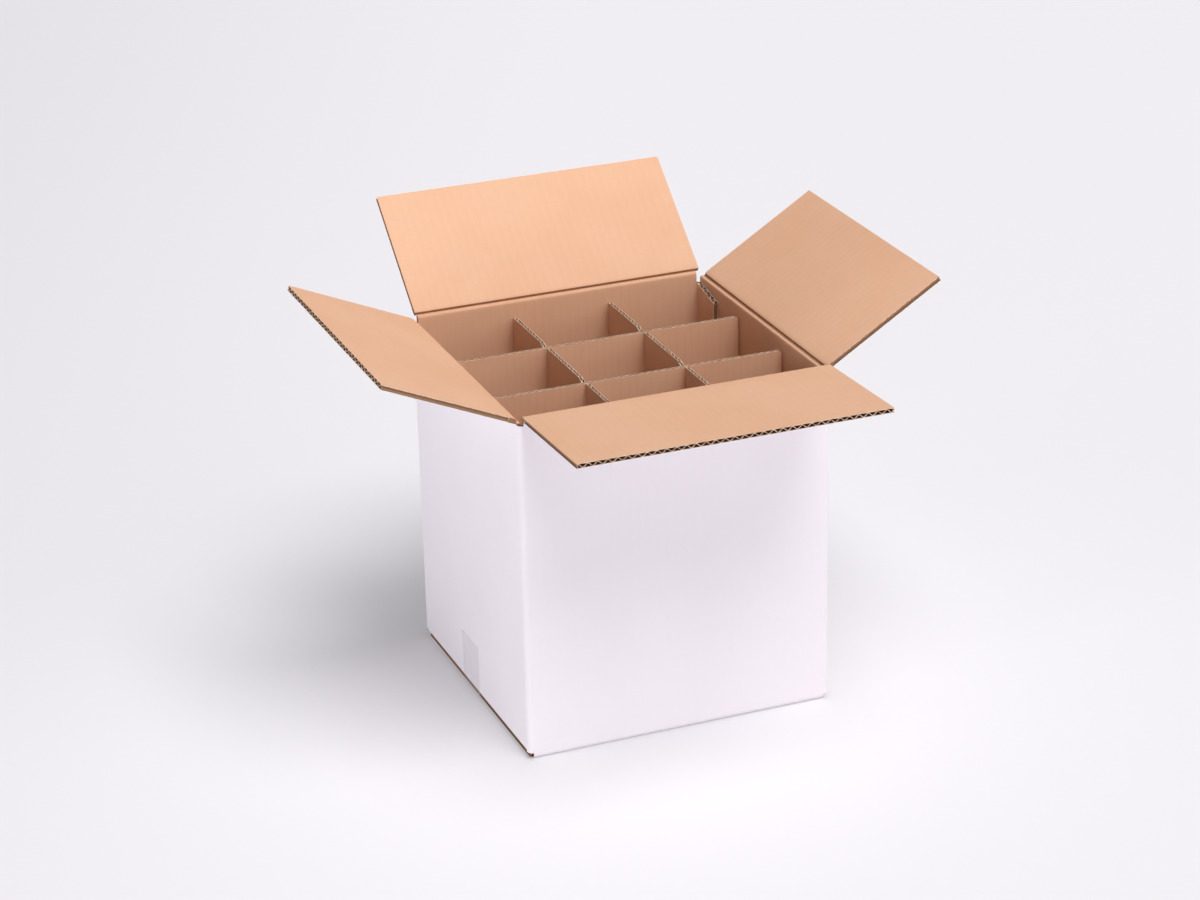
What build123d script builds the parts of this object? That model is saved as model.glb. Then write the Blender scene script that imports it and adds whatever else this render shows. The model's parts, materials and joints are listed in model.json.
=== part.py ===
"""Bottle shipping box: a slotted carton with nine bottle cells, its four top flaps open.

The carton is one folded blank of corrugated board. Its bottom flaps are folded shut and taped,
and its top flaps turn on their creases. Two long and two cross dividers interlock inside it.

Frame: millimetres, +Z up, origin at the centre of the base on the surface that the box stands on.
+X runs along the length, to the right, and -Y faces the front.
"""
from build123d import *
import os

# Carton, outside sizes with the top flaps shut.
CARTON_LENGTH = 262.0
CARTON_WIDTH = 248.0
CARTON_HEIGHT = 290.0
BOARD = 4.0
FOLD_RADIUS = 0.5  # inside radius of a fold

# Flaps. The outer flaps belong to the front and back, the inner ones to the left and right.
TOP_SEAM = 18.0  # gap left between the two outer top flaps when shut
BOTTOM_SEAM = 2.0  # gap between the two outer bottom flaps
FLAP_CLEARANCE = 0.4  # between flaps that lie on each other, and beside a flap that folds in
OUTER_FLAP_INSET = 2.5  # from the end of the box to an outer flap's side edge
CREASE_RELIEF = 0.2  # set back of each mitred crease face
SLOT_DEPTH = 0.6  # how far the slots between flaps run past the inner flaps' creases

# Opening angles from shut; 90 is upright, 180 level outwards, 270 flat against the wall.
FRONT_OPEN = 177.5
BACK_OPEN = 140.0
LEFT_OPEN = 156.5
RIGHT_OPEN = 148.5

# Glued seam: a tab folded from the back panel, inside the right wall.
TAB_WIDTH = 34.0
TAB_TAPER = 7.0  # drop of the slanted top and bottom edges
SEAM_SETBACK = 1.0  # from the back of the box to the right wall's raw edge
TAB_FLAP_INSET = 1.5  # from the tab's fold to the back flaps' side edges

# Dividers.
DIVIDER_BOARD = 3.0
BOTTLE_CELL = 82.0  # clear size of the middle cell, both ways
DIVIDER_HEADROOM = 4.6  # below the shut inner flaps
LONG_END_GAP = 1.5
CROSS_END_GAP = 0.8
SLOT_CLEARANCE = 1.2  # slot width over the board that it takes
SLOT_END_GAP = 0.5  # each slot's end to the middle height
MOUTH_RADIUS = 14.0  # the lead-in on the back or right side of each slot's mouth
DIVIDER_CORNER = 2.5

# Tape over the bottom seam and up both side walls.
TAPE_WIDTH = 38.0
TAPE_THICKNESS = 0.1
TAPE_RISE = 48.0
TAPE_OFFSET = 8.0  # from the seam to the tape's centre line
TAPE_OVERRUN = 1.2  # how far below the top of a side fold the tape leaves the wall

# Worked out from the sizes above.
HALF_LENGTH = CARTON_LENGTH / 2
HALF_WIDTH = CARTON_WIDTH / 2
BEND = BOARD + FOLD_RADIUS  # outside radius of a fold
INNER_FLAP_INSET = BEND + FLAP_CLEARANCE
SHORT_SIDE = min(CARTON_LENGTH, CARTON_WIDTH)
TOP_FLAP = (SHORT_SIDE - TOP_SEAM) / 2
BOTTOM_FLAP = (SHORT_SIDE - BOTTOM_SEAM) / 2
OUTER_CREASE_Z = CARTON_HEIGHT
INNER_CREASE_Z = CARTON_HEIGHT - BOARD - FLAP_CLEARANCE
INNER_FLAP_Z = BOARD + FLAP_CLEARANCE  # underside of the inner bottom flaps
FLOOR_Z = INNER_FLAP_Z + BOARD  # what the dividers and bottles stand on
CORNER_TOP_Z = INNER_CREASE_Z - SLOT_DEPTH
CORNER_BOTTOM_Z = INNER_FLAP_Z + 2 * SLOT_DEPTH
TAB_FOLD_X = HALF_LENGTH - BOARD  # outer face of the glue tab
TAB_TOP_Z = INNER_CREASE_Z - BOARD - SLOT_DEPTH
TAB_BOTTOM_Z = FLOOR_Z + 2 * SLOT_DEPTH
BACK_FLAP_END = TAB_FOLD_X - TAB_FLAP_INSET
OUTER_FLAP_END = HALF_LENGTH - OUTER_FLAP_INSET
DIVIDER_SPACING = BOTTLE_CELL + DIVIDER_BOARD
DIVIDER_TOP_Z = INNER_CREASE_Z - BOARD - DIVIDER_HEADROOM
DIVIDER_HEIGHT = DIVIDER_TOP_Z - FLOOR_Z
DIVIDER_MIDDLE_Z = (DIVIDER_TOP_Z + FLOOR_Z) / 2


def along_x(profile, start, end):
    """A solid of a (y, z) profile face, from x = start to x = end."""
    upright = Plane.YZ * profile
    return Pos(X=start) * extrude(upright, amount=end - start, dir=(1, 0, 0))


def along_y(profile, start, end):
    """A solid of an (x, z) profile face, from y = start to y = end."""
    upright = Rot(X=90) * profile
    return Pos(Y=start) * extrude(upright, amount=end - start, dir=(0, 1, 0))


def wall_profile(bottom, crease):
    """Section of a wall whose outer face is at 0: its top is mitred inwards below the crease."""
    outer_top = crease - CREASE_RELIEF
    return make_face(Polyline(
        (0, bottom), (0, outer_top), (BOARD, outer_top - BOARD), (BOARD, bottom), close=True))


def bottom_flap_profile(under):
    """Section of a bottom flap and the fold that joins it to a wall whose outer face is at 0."""
    outline = [
        CenterArc((BEND, under + BEND), BEND, 180, 90),
        Line((BEND, under), (BOTTOM_FLAP, under)),
        Line((BOTTOM_FLAP, under), (BOTTOM_FLAP, under + BOARD)),
        Line((BOTTOM_FLAP, under + BOARD), (BEND, under + BOARD)),
        CenterArc((BEND, under + BEND), FOLD_RADIUS, 180, 90),
        Line((BOARD, under + BEND), (0, under + BEND)),
    ]
    return make_face(Curve() + outline)


def mirrored(profile):
    """The same section for the opposite wall, its outer face still at 0."""
    return mirror(profile, about=Plane.YZ)


def outer_walls():
    """Front and back walls, each with its fold and its outer bottom flap."""
    wall = wall_profile(BEND, OUTER_CREASE_Z)
    flap = bottom_flap_profile(0)
    left = -HALF_LENGTH + BEND
    front_y = Pos(Y=-HALF_WIDTH)
    back_y = Pos(Y=HALF_WIDTH)
    front = front_y * along_x(wall, left, -left)
    front_flap = front_y * along_x(flap, -OUTER_FLAP_END, OUTER_FLAP_END)
    back = back_y * along_x(mirrored(wall), left, TAB_FOLD_X - BEND)
    back_flap = back_y * along_x(mirrored(flap), -OUTER_FLAP_END, BACK_FLAP_END)
    return [front, front_flap, back, back_flap]


def inner_walls():
    """Left and right walls, each with its fold and its inner bottom flap."""
    wall = wall_profile(INNER_FLAP_Z + BEND, INNER_CREASE_Z)
    flap = bottom_flap_profile(INNER_FLAP_Z)
    wall_end = HALF_WIDTH - BEND
    flap_end = HALF_WIDTH - INNER_FLAP_INSET
    left_x = Pos(X=-HALF_LENGTH)
    right_x = Pos(X=HALF_LENGTH)
    left = left_x * along_y(wall, -wall_end, wall_end)
    left_flap = left_x * along_y(flap, -flap_end, flap_end)
    right = right_x * along_y(mirrored(wall), -wall_end, HALF_WIDTH - SEAM_SETBACK)
    right_flap = right_x * along_y(mirrored(flap), -flap_end, flap_end)
    return [left, left_flap, right, right_flap]


def corner_fold(centre_x, centre_y, start_angle, bottom, top):
    """A quarter-round upright fold between two walls."""
    ring = Circle(BEND) - Circle(FOLD_RADIUS)
    quarter = ring & Rot(Z=start_angle) * Rectangle(BEND, BEND, align=(Align.MIN, Align.MIN))
    return Pos(centre_x, centre_y, bottom) * extrude(quarter, amount=top - bottom)


def corner_folds():
    """The three creased corners, and the fold from the back wall into the glue tab."""
    x = HALF_LENGTH - BEND
    y = HALF_WIDTH - BEND
    return [
        corner_fold(-x, -y, 180, CORNER_BOTTOM_Z, CORNER_TOP_Z),
        corner_fold(x, -y, 270, CORNER_BOTTOM_Z, CORNER_TOP_Z),
        corner_fold(-x, y, 90, CORNER_BOTTOM_Z, CORNER_TOP_Z),
        corner_fold(TAB_FOLD_X - BEND, y, 0, TAB_BOTTOM_Z, TAB_TOP_Z),
    ]


def glue_tab():
    """The tab glued inside the right wall, with slanted top and bottom edges."""
    fold_y = HALF_WIDTH - BEND
    free_y = fold_y - TAB_WIDTH
    outline = make_face(Polyline(
        (fold_y, TAB_BOTTOM_Z), (fold_y, TAB_TOP_Z), (free_y, TAB_TOP_Z - TAB_TAPER),
        (free_y, TAB_BOTTOM_Z + TAB_TAPER), close=True))
    return along_x(outline, TAB_FOLD_X - BOARD, TAB_FOLD_X)


def tape_outline(inset):
    """The box's section as a taut tape goes round it, drawn in by the inset."""
    side = HALF_LENGTH - inset
    foot = OUTER_FLAP_END - inset
    leaves_wall = INNER_FLAP_Z + BEND - TAPE_OVERRUN
    return make_face(Polyline(
        (-side, TAPE_RISE), (-side, leaves_wall), (-foot, inset),
        (foot, inset), (side, leaves_wall), (side, TAPE_RISE), close=True))


def bottom_tape():
    """Tape pulled round the box: under the bottom seam and up both side walls."""
    band = tape_outline(0) - tape_outline(TAPE_THICKNESS)
    return along_y(band, TAPE_OFFSET - TAPE_WIDTH / 2, TAPE_OFFSET + TAPE_WIDTH / 2)


def carton_body(tape):
    """The folded blank without its top flaps. The tape lies flush in the board's surface."""
    pieces = outer_walls() + inner_walls() + corner_folds() + [glue_tab()]
    return Part() + pieces - tape


def shut_flap(side_low, side_high):
    """A top flap, shut, with its crease along X through the origin and its outer face on top."""
    section = make_face(Polyline(
        (CREASE_RELIEF, 0), (TOP_FLAP, 0), (TOP_FLAP, -BOARD), (CREASE_RELIEF + BOARD, -BOARD),
        close=True))
    return along_x(section, side_low, side_high)


def top_flaps():
    """The four top flaps at their rest angles, by node name."""
    inner_end = HALF_WIDTH - INNER_FLAP_INSET
    outer = shut_flap(-OUTER_FLAP_END, OUTER_FLAP_END)
    back = shut_flap(-BACK_FLAP_END, OUTER_FLAP_END)
    inner = shut_flap(-inner_end, inner_end)
    return {
        "top_flap_front": Pos(0, -HALF_WIDTH, OUTER_CREASE_Z) * Rot(X=FRONT_OPEN) * outer,
        "top_flap_right": Pos(HALF_LENGTH, 0, INNER_CREASE_Z) * Rot(Z=90) * Rot(X=RIGHT_OPEN) * inner,
        "top_flap_back": Pos(0, HALF_WIDTH, OUTER_CREASE_Z) * Rot(Z=180) * Rot(X=BACK_OPEN) * back,
        "top_flap_left": Pos(-HALF_LENGTH, 0, INNER_CREASE_Z) * Rot(Z=270) * Rot(X=LEFT_OPEN) * inner,
    }


def divider_slot(mouth_z, end_z):
    """A slot's outline, centred on 0, with a quarter round on one side of its mouth."""
    half_slot = (DIVIDER_BOARD + SLOT_CLEARANCE) / 2
    into = 1 if end_z > mouth_z else -1
    slot = Pos(0, (mouth_z + end_z) / 2) * Rectangle(2 * half_slot, abs(end_z - mouth_z))
    round_z = mouth_z + into * MOUTH_RADIUS
    middle = Pos(half_slot + MOUTH_RADIUS / 2, (mouth_z + round_z) / 2)
    flare = middle * Rectangle(MOUTH_RADIUS, MOUTH_RADIUS)
    flare -= Pos(half_slot + MOUTH_RADIUS, round_z) * Circle(MOUTH_RADIUS)
    return slot + flare


def divider_sheet(length, mouth_z, end_z):
    """A divider's outline: rounded corners and two slots, one cell apart."""
    sheet = Pos(0, DIVIDER_MIDDLE_Z) * RectangleRounded(length, DIVIDER_HEIGHT, DIVIDER_CORNER)
    slot = divider_slot(mouth_z, end_z)
    for side in (-1, 1):
        sheet -= Pos(side * DIVIDER_SPACING / 2) * slot
    return sheet


def dividers():
    """Two long dividers slotted from below and two cross dividers slotted from above."""
    long_length = CARTON_LENGTH - 2 * BOARD - 2 * LONG_END_GAP
    cross_length = CARTON_WIDTH - 2 * BOARD - 2 * CROSS_END_GAP
    long_sheet = divider_sheet(long_length, FLOOR_Z, DIVIDER_MIDDLE_Z + SLOT_END_GAP)
    cross_sheet = divider_sheet(cross_length, DIVIDER_TOP_Z, DIVIDER_MIDDLE_Z - SLOT_END_GAP)
    near = DIVIDER_SPACING / 2 - DIVIDER_BOARD / 2
    far = DIVIDER_SPACING / 2 + DIVIDER_BOARD / 2
    return {
        "long_divider_front": along_y(long_sheet, -far, -near),
        "long_divider_back": along_y(long_sheet, near, far),
        "cross_divider_left": along_x(cross_sheet, -far, -near),
        "cross_divider_right": along_x(cross_sheet, near, far),
    }


def bottle_box():
    """Every piece of the box, by node name."""
    tape = bottom_tape()
    return {"carton_body": carton_body(tape), **top_flaps(), **dividers(), "bottom_tape": tape}


os.makedirs("parts", exist_ok=True)
for node, piece in bottle_box().items():
    export_step(piece, f"parts/{node}.step")
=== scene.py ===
"""Looks of the bottle shipping box: a white-lined fluted carton with nine kraft bottle cells.

Every board is made as real board is: two paper liners with a fluted paper between them, so
that each cut edge shows its flutes. Sizes are in millimetres while a piece is made, and
Bench.place turns them to metres and puts the piece in the model's frame.
"""

import json
import logging
import math
from contextlib import contextmanager
from dataclasses import dataclass, field
from enum import Enum, IntEnum
from typing import Callable, Iterator, Optional, Sequence, Union

import bmesh
import bpy
from mathutils import Matrix, Vector


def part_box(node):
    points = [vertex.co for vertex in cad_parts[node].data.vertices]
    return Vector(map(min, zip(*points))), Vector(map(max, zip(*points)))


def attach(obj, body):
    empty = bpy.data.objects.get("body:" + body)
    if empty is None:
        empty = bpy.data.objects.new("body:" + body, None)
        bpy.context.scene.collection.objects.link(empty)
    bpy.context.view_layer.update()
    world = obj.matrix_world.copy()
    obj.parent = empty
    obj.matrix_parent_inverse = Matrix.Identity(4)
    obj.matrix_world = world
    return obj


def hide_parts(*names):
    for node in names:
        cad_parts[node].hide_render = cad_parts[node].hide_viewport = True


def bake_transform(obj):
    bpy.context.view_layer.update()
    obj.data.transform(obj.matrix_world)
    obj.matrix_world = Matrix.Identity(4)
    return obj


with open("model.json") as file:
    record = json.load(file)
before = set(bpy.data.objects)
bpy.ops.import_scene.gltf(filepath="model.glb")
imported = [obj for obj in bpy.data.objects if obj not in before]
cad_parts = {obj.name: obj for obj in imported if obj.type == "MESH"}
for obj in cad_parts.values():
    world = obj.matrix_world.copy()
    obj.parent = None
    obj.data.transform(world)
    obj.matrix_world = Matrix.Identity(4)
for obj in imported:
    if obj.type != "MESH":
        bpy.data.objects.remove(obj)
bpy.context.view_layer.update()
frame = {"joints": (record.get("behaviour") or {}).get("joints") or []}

MM = 0.001
TOUCH = 0.01  # places closer than this are the same
DOUBLE = 0.0005  # corners closer than this are merged
log = logging.getLogger("bottle_box")

Span = tuple[float, float]
Piece = bpy.types.Object
Finish = bpy.types.Material
Facet = bpy.types.MeshPolygon
Colour = tuple[float, float, float]


class Element(Enum):
    """What a pick selects in the mesh that is being edited."""

    VERT = "VERT"
    EDGE = "EDGE"


class Paper(IntEnum):
    """The finishes of a board, as Palette.board lists them."""

    OUTER = 0
    INNER = 1
    FLUTES = 2
    CUT = 3
    RIM = 4


class Across(Enum):
    """The model's axis that a board's flutes are counted along."""

    X = 0
    Y = 1


class SideName(Enum):
    """The four sides of the carton, with each one's turn from the front in degrees."""

    FRONT = 0.0
    RIGHT = 90.0
    BACK = 180.0
    LEFT = -90.0

    @property
    def word(self) -> str:
        """The side's name as the CAD bodies have it."""
        return self.name.lower()

    @property
    def across(self) -> Across:
        """The axis across this side's flutes."""
        return Across.X if self in (SideName.FRONT, SideName.BACK) else Across.Y


# ---- Shader writing ----


class Wire:
    """An output socket of a material, on which arithmetic adds Math nodes."""

    def __init__(self, tree: "ShaderTree", socket: bpy.types.NodeSocket) -> None:
        """Keeps the socket and its tree."""
        self.tree = tree
        self.socket = socket

    def _math(self, operation: str, first: object, second: object) -> "Wire":
        """One Math node on two values."""
        return self.tree.node("ShaderNodeMath", {"operation": operation}, {0: first, 1: second})

    def __add__(self, other: object) -> "Wire":
        """self + other."""
        return self._math("ADD", self, other)

    def __radd__(self, other: object) -> "Wire":
        """other + self."""
        return self._math("ADD", other, self)

    def __sub__(self, other: object) -> "Wire":
        """self - other."""
        return self._math("SUBTRACT", self, other)

    def __rsub__(self, other: object) -> "Wire":
        """other - self."""
        return self._math("SUBTRACT", other, self)

    def __mul__(self, other: object) -> "Wire":
        """self * other."""
        return self._math("MULTIPLY", self, other)

    def __rmul__(self, other: object) -> "Wire":
        """other * self."""
        return self._math("MULTIPLY", other, self)


Feed = Union[Wire, float, Sequence[float]]


class ShaderTree:
    """Writes the nodes of one material, or of the sky."""

    def __init__(self, owner: Union[Finish, bpy.types.World]) -> None:
        """Starts with no nodes.

        Args:
            owner: the material or world whose nodes these are.
        """
        owner.use_nodes = True
        self.owner = owner
        self.tree = owner.node_tree
        self.tree.nodes.clear()

    def node(self, kind: str, settings: dict[str, object], feeds: dict[Union[int, str], Feed],
             output: Union[int, str] = 0) -> Wire:
        """Adds one node.

        Args:
            kind: the node's type.
            settings: its own settings, set first.
            feeds: a value or a wire for each named or numbered socket.
            output: the socket that the wire leaves from.

        Returns:
            The wire that leaves the node.
        """
        made = self.tree.nodes.new(kind)
        for key, value in settings.items():
            setattr(made, key, value)
        for key, value in feeds.items():
            if isinstance(value, Wire):
                self.tree.links.new(value.socket, made.inputs[key])
            else:
                made.inputs[key].default_value = value
        return Wire(self, made.outputs[output])

    def place(self) -> Wire:
        """The point on the piece, in the model's frame."""
        return self.node("ShaderNodeTexCoord", {}, {}, "Object")

    def axis(self, place: Wire, index: int) -> Wire:
        """One coordinate of a point."""
        return self.node("ShaderNodeSeparateXYZ", {}, {0: place}, index)

    def noise(self, place: Wire, scale: float, detail: float = 2.0,
              stretch: Colour = (1.0, 1.0, 1.0)) -> Wire:
        """Cloudy noise about 0.5.

        Args:
            place: the point that it is read at.
            scale: how many clouds there are to a metre.
            detail: how many finer layers are added.
            stretch: how much finer it is along each axis.

        Returns:
            The noise's value.
        """
        if stretch != (1.0, 1.0, 1.0):
            place = self.node("ShaderNodeMapping", {}, {"Vector": place, "Scale": stretch})
        return self.node("ShaderNodeTexNoise", {}, {
            "Vector": place, "Scale": scale, "Detail": detail, "Roughness": 0.55}, "Fac")

    def between(self, value: Wire, low: float, high: float) -> Wire:
        """0 below low, 1 above high and a smooth rise between."""
        return self.node("ShaderNodeMapRange", {"interpolation_type": "SMOOTHSTEP"},
                         {"Value": value, "From Min": low, "From Max": high})

    def mix(self, amount: Feed, first: Feed, second: Feed) -> Wire:
        """A colour between two colours."""
        return self.node("ShaderNodeMix", {"data_type": "RGBA"},
                         {0: amount, 6: first, 7: second}, 2)

    def shaded(self, colour: Feed, shade: Wire) -> Wire:
        """A colour made lighter or darker by a value about 1."""
        return self.node("ShaderNodeVectorMath", {"operation": "SCALE"},
                         {0: colour, "Scale": shade})

    def relief(self, height: Wire, distance: float, strength: float) -> Wire:
        """A bumped normal from a height."""
        return self.node("ShaderNodeBump", {}, {
            "Height": height, "Distance": distance, "Strength": strength}, "Normal")

    def surface(self, feeds: dict[str, Feed]) -> Finish:
        """Adds the surface shader and the output.

        Args:
            feeds: what goes into the surface shader's sockets.

        Returns:
            The finished material.
        """
        shader = self.node("ShaderNodeBsdfPrincipled", {}, feeds)
        end = self.tree.nodes.new("ShaderNodeOutputMaterial")
        self.tree.links.new(shader.socket, end.inputs["Surface"])
        return self.owner

    def sky(self, colour: Wire) -> bpy.types.World:
        """Adds the background and the world's output.

        Args:
            colour: the sky's colour.

        Returns:
            The finished world.
        """
        shader = self.node("ShaderNodeBackground", {}, {"Color": colour})
        end = self.tree.nodes.new("ShaderNodeOutputWorld")
        self.tree.links.new(shader.socket, end.inputs["Surface"])
        return self.owner


# ---- Finishes ----


@dataclass(frozen=True)
class Liner:
    """The smooth face of a board: cloudy shade, paper fibres, and the flutes' ridges, which are a
    bump and also painted shade in the colour.

    The cloud, fibre, painted ridge shade and speck are how much each changes the shade.
    """

    name: str
    colour: Colour
    tint: Colour
    across: Across
    pitch: float
    cloud: float
    fibre: float
    ridge: float
    speck: float
    roughness: float
    relief: float

    def material(self) -> Finish:
        """Writes the liner's material.

        Returns:
            The material.
        """
        tree = ShaderTree(bpy.data.materials.new(f"{self.name}_{self.across.name.lower()}"))
        place = tree.place()
        over = tree.axis(place, self.across.value)
        cloud = tree.noise(place, 11.0, 3.0)
        blot = tree.noise(place, 75.0, 3.0)
        grain = tree.noise(place, 1300.0, 2.0)
        long_way = (1.0, 9.0, 9.0) if self.across is Across.X else (9.0, 1.0, 9.0)
        fibre = tree.noise(place, 120.0, 4.0, long_way)
        rate = 2 * math.pi / (self.pitch * MM)
        wave, thin = (tree.node("ShaderNodeMath", {"operation": "SINE"}, {0: angle})
                      for angle in (over * rate + blot * 0.9, over * (2 * rate) + 1.0))
        # painted shade: the flute ridges lighten and darken the colour in stripes, beside being a
        # bump
        lines = (wave * 0.7 + thin * 0.3) * (0.25 + cloud * 0.9)
        speck = tree.between(grain, 0.66, 0.76) * tree.between(blot, 0.42, 0.6)
        shade = (1.0 + (cloud - 0.5) * self.cloud + (blot - 0.5) * (self.cloud * 0.6)
                 + (fibre - 0.5) * self.fibre + lines * self.ridge - speck * self.speck)
        colour = tree.mix(tree.between(cloud + (fibre - 0.5) * 0.5, 0.35, 0.68),
                          (*self.colour, 1.0), (*self.tint, 1.0))
        height = lines * 0.45 + fibre * 0.5 + grain * 0.2
        return tree.surface({
            "Base Color": tree.shaded(colour, shade),
            "Roughness": self.roughness + (grain - 0.5) * 0.12 - (fibre - 0.5) * 0.08,
            "Specular IOR Level": 0.35,
            "Normal": tree.relief(height, 0.00016, self.relief)})


@dataclass(frozen=True)
class FlutePaper:
    """The rough paper of the flutes."""

    name: str = "flute_paper"
    colour: Colour = (0.30, 0.165, 0.092)

    def material(self) -> Finish:
        """Writes the fluted paper's material.

        Returns:
            The material.
        """
        tree = ShaderTree(bpy.data.materials.new(self.name))
        place = tree.place()
        blot = tree.noise(place, 160.0, 3.0)
        grain = tree.noise(place, 1800.0, 2.0)
        shade = 0.8 + blot * 0.3 + grain * 0.15
        return tree.surface({
            "Base Color": tree.shaded(self.colour, shade),
            "Roughness": 0.86 + grain * 0.12,
            "Specular IOR Level": 0.25,
            "Normal": tree.relief(grain, 0.0002, 0.5)})


@dataclass(frozen=True)
class CutEdge:
    """A cut edge of paper: pale torn fibres, with darker patches that are painted shade in its
    pits.
    """

    name: str = "cut_edge"
    pale: Colour = (0.86, 0.66, 0.50)
    dark: Colour = (0.50, 0.31, 0.20)
    cover: float = 0.40

    def material(self) -> Finish:
        """Writes the cut edge's material.

        Returns:
            The material.
        """
        tree = ShaderTree(bpy.data.materials.new(self.name))
        place = tree.place()
        tuft = tree.noise(place, 420.0, 3.0)
        grain = tree.noise(place, 2200.0, 2.0)
        # painted shade: where the pale fibres thin out, the edge gets the darker colour, standing
        # for shade in its pits
        torn = tree.between(tuft * 0.65 + grain * 0.35, self.cover, self.cover + 0.16)
        return tree.surface({
            "Base Color": tree.mix(torn, (*self.dark, 1.0), (*self.pale, 1.0)),
            "Roughness": 0.88 + (grain - 0.5) * 0.1,
            "Specular IOR Level": 0.2,
            "Normal": tree.relief(tuft + grain * 0.5, 0.0003, 0.6)})


@dataclass(frozen=True)
class TapeFilm:
    """Clear packing tape: a thin grey film with faint long streaks."""

    name: str = "clear_tape"
    colour: Colour = (0.74, 0.71, 0.74)

    def material(self) -> Finish:
        """Writes the tape's material.

        Returns:
            The material.
        """
        tree = ShaderTree(bpy.data.materials.new(self.name))
        place = tree.place()
        streak = tree.noise(place, 60.0, 3.0, (1.0, 8.0, 0.6))
        cloud = tree.noise(place, 90.0, 2.0)
        return tree.surface({
            "Base Color": tree.shaded(self.colour, 0.9 + streak * 0.2),
            "Roughness": 0.26 + cloud * 0.14,
            "Alpha": 0.10 + (streak - 0.5) * 0.10 + (cloud - 0.5) * 0.05,
            "Normal": tree.relief(streak + cloud * 0.6, 0.0002, 0.35)})


@dataclass(frozen=True)
class StudioFloor:
    """The plain pale floor, with painted shade making it a little darker towards the left, and a
    faint glow as painted light that lifts its shadows.
    """

    name: str = "studio_floor"
    colour: Colour = (0.63, 0.622, 0.64)
    glow: Colour = (0.95, 0.935, 0.98)

    def material(self) -> Finish:
        """Writes the floor's material.

        Returns:
            The material.
        """
        tree = ShaderTree(bpy.data.materials.new(self.name))
        place = tree.place()
        cloud = tree.noise(place, 0.7, 2.0)
        # painted shade: the floor is made darker towards the left and back, where the lights fall
        # off
        rightward = tree.axis(place, 0) * 0.93 - tree.axis(place, 1) * 0.37
        painted_falloff = tree.between(rightward, -1.0, 0.0) * 0.11
        return tree.surface({
            "Base Color": tree.shaded(self.colour, 0.88 + painted_falloff + cloud * 0.02),
            "Roughness": 0.9,
            "Specular IOR Level": 0.1,
            # painted light: the floor glows faintly, which lifts the shadows on it
            "Emission Color": tree.shaded(self.glow, 0.88 + painted_falloff),
            "Emission Strength": 0.22})


class Palette:
    """Makes each finish once and hands it out."""

    def __init__(self) -> None:
        """Starts with nothing made."""
        self._made: dict[object, Finish] = {}

    def get(self, finish: object) -> Finish:
        """The material of a finish.

        Args:
            finish: one of the finishes above.

        Returns:
            Its material, made at the first call.
        """
        if finish not in self._made:
            self._made[finish] = finish.material()
        return self._made[finish]

    def board(self, outer: str, across: Across, pitch: float) -> list[Finish]:
        """A board's finishes: its two faces, flutes, cut edges and the outer liner's edge.

        Args:
            outer: "white" or "kraft", for the outer face.
            across: the axis across the flutes.
            pitch: one flute's width.

        Returns:
            The five materials, in the order that FlutedBoard paints them.
        """
        kraft = Liner("kraft_liner", (0.765, 0.465, 0.299), (0.73, 0.425, 0.266), across, pitch,
                      cloud=0.08, fibre=0.12, ridge=0.014, speck=0.12, roughness=0.74, relief=0.4)
        white = Liner("white_liner", (0.885, 0.84, 0.878), (0.87, 0.822, 0.862), across, pitch,
                      cloud=0.015, fibre=0.02, ridge=0.004, speck=0.02, roughness=0.52, relief=0.2)
        cut = CutEdge()
        # the white liner's edge; its darker colour is painted shade in the pits too
        lined = CutEdge("lined_edge", (0.84, 0.78, 0.76), (0.62, 0.50, 0.44), 0.36)
        face, rim = {"white": (white, lined), "kraft": (kraft, cut)}[outer]
        return [self.get(finish) for finish in (face, kraft, FlutePaper(), cut, rim)]


# ---- Mesh work ----


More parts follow.
